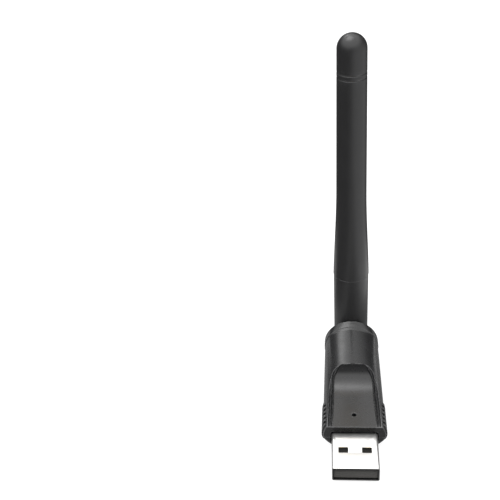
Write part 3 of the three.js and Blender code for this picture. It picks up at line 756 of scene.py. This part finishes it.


# ---------------------------------------------------------------- materials
# Colours are linear. Noise is scaled in features per metre, and bumps are so many metres deep.

# The case's edges are lighter: rubbed wear, and a painted highlight along the lip, the collar's step
# and other rounded edges.
CASE_BLACK, CASE_EDGE_WEAR_AND_HIGHLIGHT = (0.016, 0.016, 0.0165), (0.085, 0.085, 0.087)
ROD_BLACK, ROD_WORN = (0.017, 0.017, 0.0175), (0.026, 0.026, 0.027)
# The insulator's edges are near black: painted shade for the dark gaps round the tongue.
INSULATOR_GREY, INSULATOR_EDGE_SHADE = (0.062, 0.06, 0.057), (0.006, 0.006, 0.006)
NICKEL, NICKEL_HAZY, NICKEL_LINED = (0.93, 0.925, 0.91), (0.86, 0.855, 0.84), (0.78, 0.775, 0.765)
# Painted shade for the faces inside the plug's shell.
PLUG_INSIDE_PAINTED_SHADE = (0.1, 0.1, 0.1)
GOLD, TIN, BRASS = (0.85, 0.64, 0.28), (0.62, 0.63, 0.64), (0.66, 0.47, 0.2)
COPPER, FERRITE, CERAMIC = (0.68, 0.3, 0.15), (0.05, 0.05, 0.055), (0.36, 0.25, 0.14)
EPOXY_BLACK, CABLE_BLACK = (0.02, 0.02, 0.022), (0.012, 0.012, 0.013)
MASK_GREEN, MASK_DULL, MASK_DARK = (0.02, 0.17, 0.06), (0.015, 0.13, 0.05), (0.012, 0.1, 0.04)
TRACK_GREEN = (0.03, 0.24, 0.09)
LED_PALE, LED_YELLOW = (0.84, 0.86, 0.76), (0.88, 0.84, 0.5)


class Nodes:
    """A new material's nodes, with short ways to add and link them."""

    def __init__(self, name):
        self.material = bpy.data.materials.new(name)
        self.material.use_nodes = True
        self.tree = self.material.node_tree
        self.shader = self.tree.nodes["Principled BSDF"]
        self.where = self.add("ShaderNodeTexCoord").outputs["Object"]

    def add(self, kind, **inputs):
        node = self.tree.nodes.new(kind)
        for key, value in inputs.items():
            self.set(node, key.replace("_", " "), value)
        return node

    def set(self, node, key, value):
        socket = node.inputs[key]
        if isinstance(value, bpy.types.NodeSocket):
            self.tree.links.new(value, socket)
        else:
            socket.default_value = value

    def noise(self, scale, detail=3, roughness=0.55, stretch=(1, 1, 1)):
        mapping = self.add("ShaderNodeMapping", Vector=self.where, Scale=stretch)
        texture = self.add(
            "ShaderNodeTexNoise",
            Vector=mapping.outputs["Vector"],
            Scale=scale,
            Detail=detail,
            Roughness=roughness,
        )
        return texture.outputs["Fac"]

    def spread(self, value, low, high, low_in=0.3, high_in=0.7):
        """Maps low_in to high_in evenly onto low to high, and holds it there beyond them."""
        node = self.add(
            "ShaderNodeMapRange",
            Value=value,
            From_Min=low_in,
            From_Max=high_in,
            To_Min=low,
            To_Max=high,
        )
        return node.outputs["Result"]

    def times(self, a, b):
        node = self.add("ShaderNodeMath")
        node.operation = "MULTIPLY"
        self.set(node, 0, a)
        self.set(node, 1, b)
        return node.outputs["Value"]

    def plus(self, a, b):
        node = self.add("ShaderNodeMath")
        node.operation = "ADD"
        self.set(node, 0, a)
        self.set(node, 1, b)
        return node.outputs["Value"]

    def within(self, value, middle, reach):
        """1 where a length in metres is within reach of middle, both in millimetres."""
        node = self.add("ShaderNodeMath")
        node.operation = "COMPARE"
        for socket, number in enumerate((value, middle * MM, reach * MM)):
            self.set(node, socket, number)
        return node.outputs["Value"]

    def blend(self, factor, a, b):
        node = self.add("ShaderNodeMix")
        node.data_type = "RGBA"
        self.set(node, 0, factor)
        for socket, value in ((6, a), (7, b)):
            self.set(node, socket, value if isinstance(value, bpy.types.NodeSocket) else (*value, 1))
        return node.outputs[2]

    def edge(self):
        node = self.add("ShaderNodeAttribute")
        node.attribute_name = "edge"
        return node.outputs["Fac"]

    def bump(self, height, strength, distance, under=None):
        node = self.add("ShaderNodeBump", Height=height, Strength=strength, Distance=distance)
        if under is not None:
            self.set(node, "Normal", under)
        return node.outputs["Normal"]

    def finish(self, **inputs):
        for key, value in inputs.items():
            self.set(self.shader, key.replace("_", " "), value)
        return self.material


def shaded(colour, share):
    return [channel * share for channel in colour]


def moulded_plastic(name, colour, edge_wear_and_light, roughness, grain, grain_depth, specular=0.5):
    """Dark moulded plastic: fine grain, faint flow marks, and edges set to another colour, for rubbed
    wear and for painted edge highlights and shade.
    """
    n = Nodes(name)
    flow = n.noise(scale=90, detail=4, roughness=0.6, stretch=(1, 0.35, 1))
    speckle = n.noise(scale=grain * 0.8, detail=2)
    base = n.blend(n.spread(flow, 0, 1), colour, shaded(colour, 1.15))
    base = n.blend(n.spread(speckle, 0, 0.5), base, shaded(colour, 0.8))
    patches = n.noise(scale=700, detail=4, roughness=0.7)
    # The edge colour goes on here: rubbed wear, and painted light too, with lighter edges as a painted
    # highlight on the case and darker edges as painted shade on the insulator.
    edge_wear_and_light_mask = n.times(n.edge(), n.spread(patches, 0.25, 1.0, low_in=0.35, high_in=0.6))
    base = n.blend(edge_wear_and_light_mask, base, edge_wear_and_light)
    smears = n.noise(scale=260, detail=4, roughness=0.6)
    rough = n.spread(smears, roughness - 0.04, roughness + 0.05)
    rough = n.plus(rough, n.times(edge_wear_and_light_mask, -0.08))
    pits = n.noise(scale=grain, detail=2, roughness=0.5)
    coarse = n.bump(pits, strength=0.25, distance=grain_depth)
    dust = n.noise(scale=grain * 3.1, detail=2, roughness=0.5)
    fine = n.bump(dust, strength=0.2, distance=grain_depth * 0.4, under=coarse)
    return n.finish(
        Base_Color=base, Roughness=rough, Normal=fine, IOR=1.5, Specular_IOR_Level=specular
    )


def plated_steel():
    """Bright nickel plate over drawn sheet: faint rolling lines, finger haze, and painted shade that
    darkens the inside of the shell.
    """
    n = Nodes("plated_steel")
    lines = n.noise(scale=900, detail=5, roughness=0.65, stretch=(1, 0.04, 1))
    haze = n.noise(scale=160, detail=4, roughness=0.6)
    base = n.blend(n.spread(haze, 0, 1), NICKEL, NICKEL_HAZY)
    base = n.blend(n.times(n.spread(lines, 0, 1), 0.25), base, NICKEL_LINED)
    spot = n.add("ShaderNodeSeparateXYZ", Vector=n.where)
    half_width = (PLUG_HIGH[0] - PLUG_LOW[0]) / 2
    half_height = (PLUG_HIGH[2] - PLUG_LOW[2]) / 2
    # Painted shade: the faces inside the shell take a dark colour in place of the shade that falls
    # there.
    inside = n.times(
        n.within(spot.outputs["X"], 0, half_width - PLUG_WALL / 2),
        n.within(spot.outputs["Z"], PLUG_CENTRE_Z, half_height - PLUG_WALL / 2),
    )
    base = n.blend(inside, base, PLUG_INSIDE_PAINTED_SHADE)
    rough = n.plus(n.spread(haze, 0.28, 0.34), n.spread(lines, -0.02, 0.03))
    normal = n.bump(lines, strength=0.05, distance=0.000005)
    return n.finish(Base_Color=base, Metallic=1.0, Roughness=rough, Normal=normal)


def simple_metal(name, colour, roughness, along):
    """Metal with stains and a grain drawn out one way."""
    n = Nodes(name)
    grain = n.noise(scale=1500, detail=4, roughness=0.6, stretch=along)
    stain = n.noise(scale=500)
    base = n.blend(n.spread(stain, 0, 1), colour, shaded(colour, 0.8))
    rough = n.spread(grain, roughness - 0.05, roughness + 0.08)
    normal = n.bump(grain, strength=0.15, distance=0.00001)
    return n.finish(Base_Color=base, Metallic=1.0, Roughness=rough, Normal=normal)


def simple_solid(name, colour, roughness, scale, depth):
    """Resin, ceramic or rubber with a fine dark grain and broad lighter clouds."""
    n = Nodes(name)
    grain = n.noise(scale)
    cloud = n.noise(scale * 0.12)
    base = n.blend(n.spread(cloud, 0, 1), colour, shaded(colour, 1.3))
    base = n.blend(n.spread(grain, 0, 0.4), base, shaded(colour, 0.7))
    rough = n.spread(cloud, roughness - 0.05, roughness + 0.06)
    normal = n.bump(grain, strength=0.3, distance=depth)
    return n.finish(Base_Color=base, Roughness=rough, Normal=normal)


def board_material():
    """Green solder mask with lighter tracks that stand a little proud."""
    n = Nodes("board_green")
    tracks = n.add(
        "ShaderNodeTexBrick",
        Vector=n.where,
        Scale=600.0,
        Color1=(*MASK_GREEN, 1),
        Color2=(*MASK_DULL, 1),
        Mortar=(*TRACK_GREEN, 1),
    )
    cloud = n.noise(scale=400)
    base = n.blend(n.spread(cloud, 0, 0.5), tracks.outputs["Color"], MASK_DARK)
    normal = n.bump(tracks.outputs["Fac"], strength=0.3, distance=0.00003)
    return n.finish(Base_Color=base, Roughness=n.spread(cloud, 0.3, 0.42), Normal=normal)


def led_material():
    """A glossy little block, clouded between pale and yellow."""
    n = Nodes("led_body")
    cloud = n.noise(scale=1800, detail=2)
    base = n.blend(n.spread(cloud, 0, 1), LED_PALE, LED_YELLOW)
    return n.finish(Base_Color=base, Roughness=n.spread(cloud, 0.2, 0.35), Coat_Weight=0.6)


def dress_frame(materials):
    """Gives every CAD node that stays visible its own material."""
    wear = {
        "usb_contact": materials["gold"],
        "circuit_board": materials["board"],
        "wifi_chip": materials["chip"],
        "crystal": materials["tin"],
        "regulator": materials["chip"],
        "inductor": materials["ferrite"],
        "status_led": materials["led"],
        "capacitor": materials["ceramic"],
        "resistor": materials["chip"],
        "feed_coax": materials["cable"],
        "antenna_coax": materials["cable"],
        "dipole_tube": materials["brass"],
        "radiator_wire": materials["copper"],
    }
    for name, node in frame["nodes"].items():
        for start, material in wear.items():
            if name.startswith(start):
                node.data.materials.clear()
                node.data.materials.append(material)


# ---------------------------------------------------------------- stage


WHITE, BLACK, FLOOR_GREY = (1, 1, 1, 1), (0, 0, 0, 1), (0.25, 0.25, 0.25, 1)
FLOOR_REACH, FLOOR_DEPTH, FLOOR_GLOW = 3000, 0.2, 0.85

# The key light, in metres and watts.
KEY_PLACE, KEY_TARGET = (-0.12, 0.1, 0.6), (0, 0, 0.01)
KEY_SIZE, KEY_POWER = 0.3, 1.2

# Pale cards that only the adapter's reflections see: low and high corners, and the glow at either
# end of the fade across. They light the lower flanks and the sides of the antenna's foot.
CARD_DEPTH, CARD_FADE = 0.1, (-30, 20)
CARDS = (
    ((-26, -70), (30, 85), 0.5, 0.25),
    ((-58, 40), (-26, 74), 0.7, 0.7),
    ((30, -10), (60, 60), 1.2, 1.2),
)


def flat_sheet(name, low, high):
    """A level rectangle between two corners."""
    (left, near), (right, far) = low, high
    ring = [(left, near, 0), (right, near, 0), (right, far, 0), (left, far, 0)]
    return new_object(name, ring, [(0, 1, 2, 3)])


def add_floor():
    """White to the camera. It takes the adapter's soft shadow and stays out of its reflections."""
    floor = flat_sheet("floor", (-FLOOR_REACH, -FLOOR_REACH), (FLOOR_REACH, FLOOR_REACH))
    floor.location.z = -FLOOR_DEPTH * MM
    n = Nodes("floor_white")
    floor.data.materials.append(n.finish(
        Base_Color=FLOOR_GREY,
        Roughness=0.9,
        Specular_IOR_Level=0.0,
        Emission_Color=WHITE,
        Emission_Strength=FLOOR_GLOW,
    ))
    floor.visible_glossy = False


def add_card(low, high, left_glow, right_glow):
    """Lies just under the adapter, seen by neither the camera nor its plain shading."""
    card = flat_sheet("card", low, high)
    card.location.z = -CARD_DEPTH * MM
    n = Nodes("card_white")
    across = n.add("ShaderNodeSeparateXYZ", Vector=n.where).outputs["X"]
    glow = n.spread(across, left_glow, right_glow, *(x * MM for x in CARD_FADE))
    card.data.materials.append(n.finish(
        Base_Color=BLACK, Roughness=1.0, Emission_Color=WHITE, Emission_Strength=glow
    ))
    card.visible_camera = False
    card.visible_diffuse = False
    card.visible_shadow = False


def add_softbox(name, spot, target, width, height, power):
    data = bpy.data.lights.new(name, "AREA")
    data.shape = "RECTANGLE"
    data.size = width
    data.size_y = height
    data.energy = power
    light = bpy.data.objects.new(name, data)
    light.location = spot
    light.rotation_euler = (Vector(target) - Vector(spot)).to_track_quat("-Z", "Y").to_euler()
    bpy.context.scene.collection.objects.link(light)


# Soft lights in the studio's surround: heading from +Y towards +X, elevation, the angles inside
# which it is full and outside which it is gone, and strength.
SURROUND = 0.06
SOFT_LIGHTS = (
    (-23, 35, 2, 12, 2.6),
    (-14, 38, 5, 22, 0.5),
    (-140, 80, 40, 78, 1.8),
    (120, -25, 20, 75, 0.85),
)


def add_world():
    """A dim even surround with the soft lights added to it."""
    world = bpy.data.worlds.new("studio")
    world.use_nodes = True
    tree = world.node_tree
    direction = tree.nodes.new("ShaderNodeTexCoord").outputs["Generated"]
    total = tree.nodes.new("ShaderNodeMath")
    total.inputs[0].default_value = SURROUND
    total.inputs[1].default_value = 0
    for heading, elevation, inner, outer, strength in SOFT_LIGHTS:
        heading, elevation = math.radians(heading), math.radians(elevation)
        dot = tree.nodes.new("ShaderNodeVectorMath")
        dot.operation = "DOT_PRODUCT"
        tree.links.new(direction, dot.inputs[0])
        dot.inputs[1].default_value = (
            math.sin(heading) * math.cos(elevation),
            math.cos(heading) * math.cos(elevation),
            math.sin(elevation),
        )
        glow = tree.nodes.new("ShaderNodeMapRange")
        glow.interpolation_type = "SMOOTHSTEP"
        tree.links.new(dot.outputs["Value"], glow.inputs["Value"])
        glow.inputs["From Min"].default_value = math.cos(math.radians(outer))
        glow.inputs["From Max"].default_value = math.cos(math.radians(inner))
        glow.inputs["To Max"].default_value = strength
        more = tree.nodes.new("ShaderNodeMath")
        tree.links.new(total.outputs["Value"], more.inputs[0])
        tree.links.new(glow.outputs["Result"], more.inputs[1])
        total = more
    tree.links.new(total.outputs["Value"], tree.nodes["Background"].inputs["Strength"])
    tree.nodes["Background"].inputs["Color"].default_value = WHITE
    bpy.context.scene.world = world


def add_lights():
    add_world()
    add_softbox("key", KEY_PLACE, KEY_TARGET, KEY_SIZE, KEY_SIZE, KEY_POWER)
    bpy.context.scene.view_settings.view_transform = "Standard"


# ---------------------------------------------------------------- assembly


def place(piece, body, material, slot, *nodes):
    piece.data.materials.clear()
    piece.data.materials.append(material)
    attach(piece, body)
    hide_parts(*nodes)


def build():
    """Makes every visible piece, and dresses the CAD nodes that stay."""
    case = moulded_plastic(
        "case_plastic",
        colour=CASE_BLACK,
        # Lighter edges: rubbed wear, and a painted highlight along the lip and the collar's step.
        edge_wear_and_light=CASE_EDGE_WEAR_AND_HIGHLIGHT,
        roughness=0.26,
        grain=5200,
        grain_depth=0.000012,
    )
    rod = moulded_plastic(
        "antenna_plastic",
        colour=ROD_BLACK,
        edge_wear_and_light=ROD_WORN,
        roughness=0.34,
        grain=6500,
        grain_depth=0.000012,
    )
    insulator = moulded_plastic(
        "insulator",
        colour=INSULATOR_GREY,
        # Near-black edges: painted shade for the dark gaps round the tongue.
        edge_wear_and_light=INSULATOR_EDGE_SHADE,
        roughness=0.4,
        grain=5000,
        grain_depth=0.00001,
        specular=0.15,
    )
    dress_frame({
        "gold": simple_metal("gold_plate", GOLD, roughness=0.28, along=(1, 0.1, 1)),
        "board": board_material(),
        "chip": simple_solid("epoxy_black", EPOXY_BLACK, 0.5, scale=4000, depth=0.00001),
        "ferrite": simple_solid("ferrite_grey", FERRITE, 0.6, scale=5000, depth=0.00002),
        "tin": simple_metal("tin_can", TIN, roughness=0.32, along=(1, 0.2, 1)),
        "led": led_material(),
        "ceramic": simple_solid("ceramic_tan", CERAMIC, 0.5, scale=5000, depth=0.00001),
        "cable": simple_solid("cable_jacket", CABLE_BLACK, 0.45, scale=3000, depth=0.00001),
        "brass": simple_metal("brass_tube", BRASS, roughness=0.3, along=(1, 1, 0.1)),
        "copper": simple_metal("bare_copper", COPPER, roughness=0.3, along=(1, 1, 0.1)),
    })
    case_low = (-CASE_HALF_WIDTH, CASE_LOW[1] - CASE_MARGIN, -CASE_MARGIN)
    case_high = (CASE_HALF_WIDTH, CASE_HIGH[1] + CASE_MARGIN, CASE_HIGH[2] + CASE_MARGIN)
    top_low = (*case_low[:2], FRONT_CENTRE_Z - CASE_MARGIN)
    bottom_high = (*case_high[:2], REAR_CENTRE_Z + CASE_MARGIN)
    cell = CASE_CELL
    top = rounded_solid("case_top", upper_shell, top_low, case_high, cell, TOP_KEPT)
    place(top, "adapter", case, "case", "upper_shell")
    bottom = rounded_solid(
        "case_bottom", lower_shell, case_low, bottom_high, cell, BOTTOM_KEPT
    )
    place(bottom, "adapter", case, "case", "lower_shell")
    plug = usb_shell()
    place(plug, "adapter", plated_steel(), "plug_metal", "usb_shell")
    tongue = rounded_solid(
        "plug_tongue", usb_tongue, TONGUE_LOW, TONGUE_HIGH, TONGUE_CELL, SMALL_KEPT
    )
    place(tongue, "adapter", insulator, "plug_insulator", "usb_tongue")
    sleeve = turned("antenna_cover", sleeve_profile(), SLEEVE_SIDES)
    place(sleeve, "antenna", rod, "antenna_plastic", "antenna_sleeve")
    knuckle = rounded_solid(
        "antenna_foot", antenna_knuckle, KNUCKLE_LOW, KNUCKLE_HIGH, KNUCKLE_CELL, SMALL_KEPT
    )
    place(knuckle, "antenna", rod, "antenna_plastic", "antenna_knuckle")
    for piece in (sleeve, knuckle, plug):
        piece.visible_glossy = False


add_camera()
build()
add_floor()
for card in CARDS:
    add_card(*card)
add_lights()
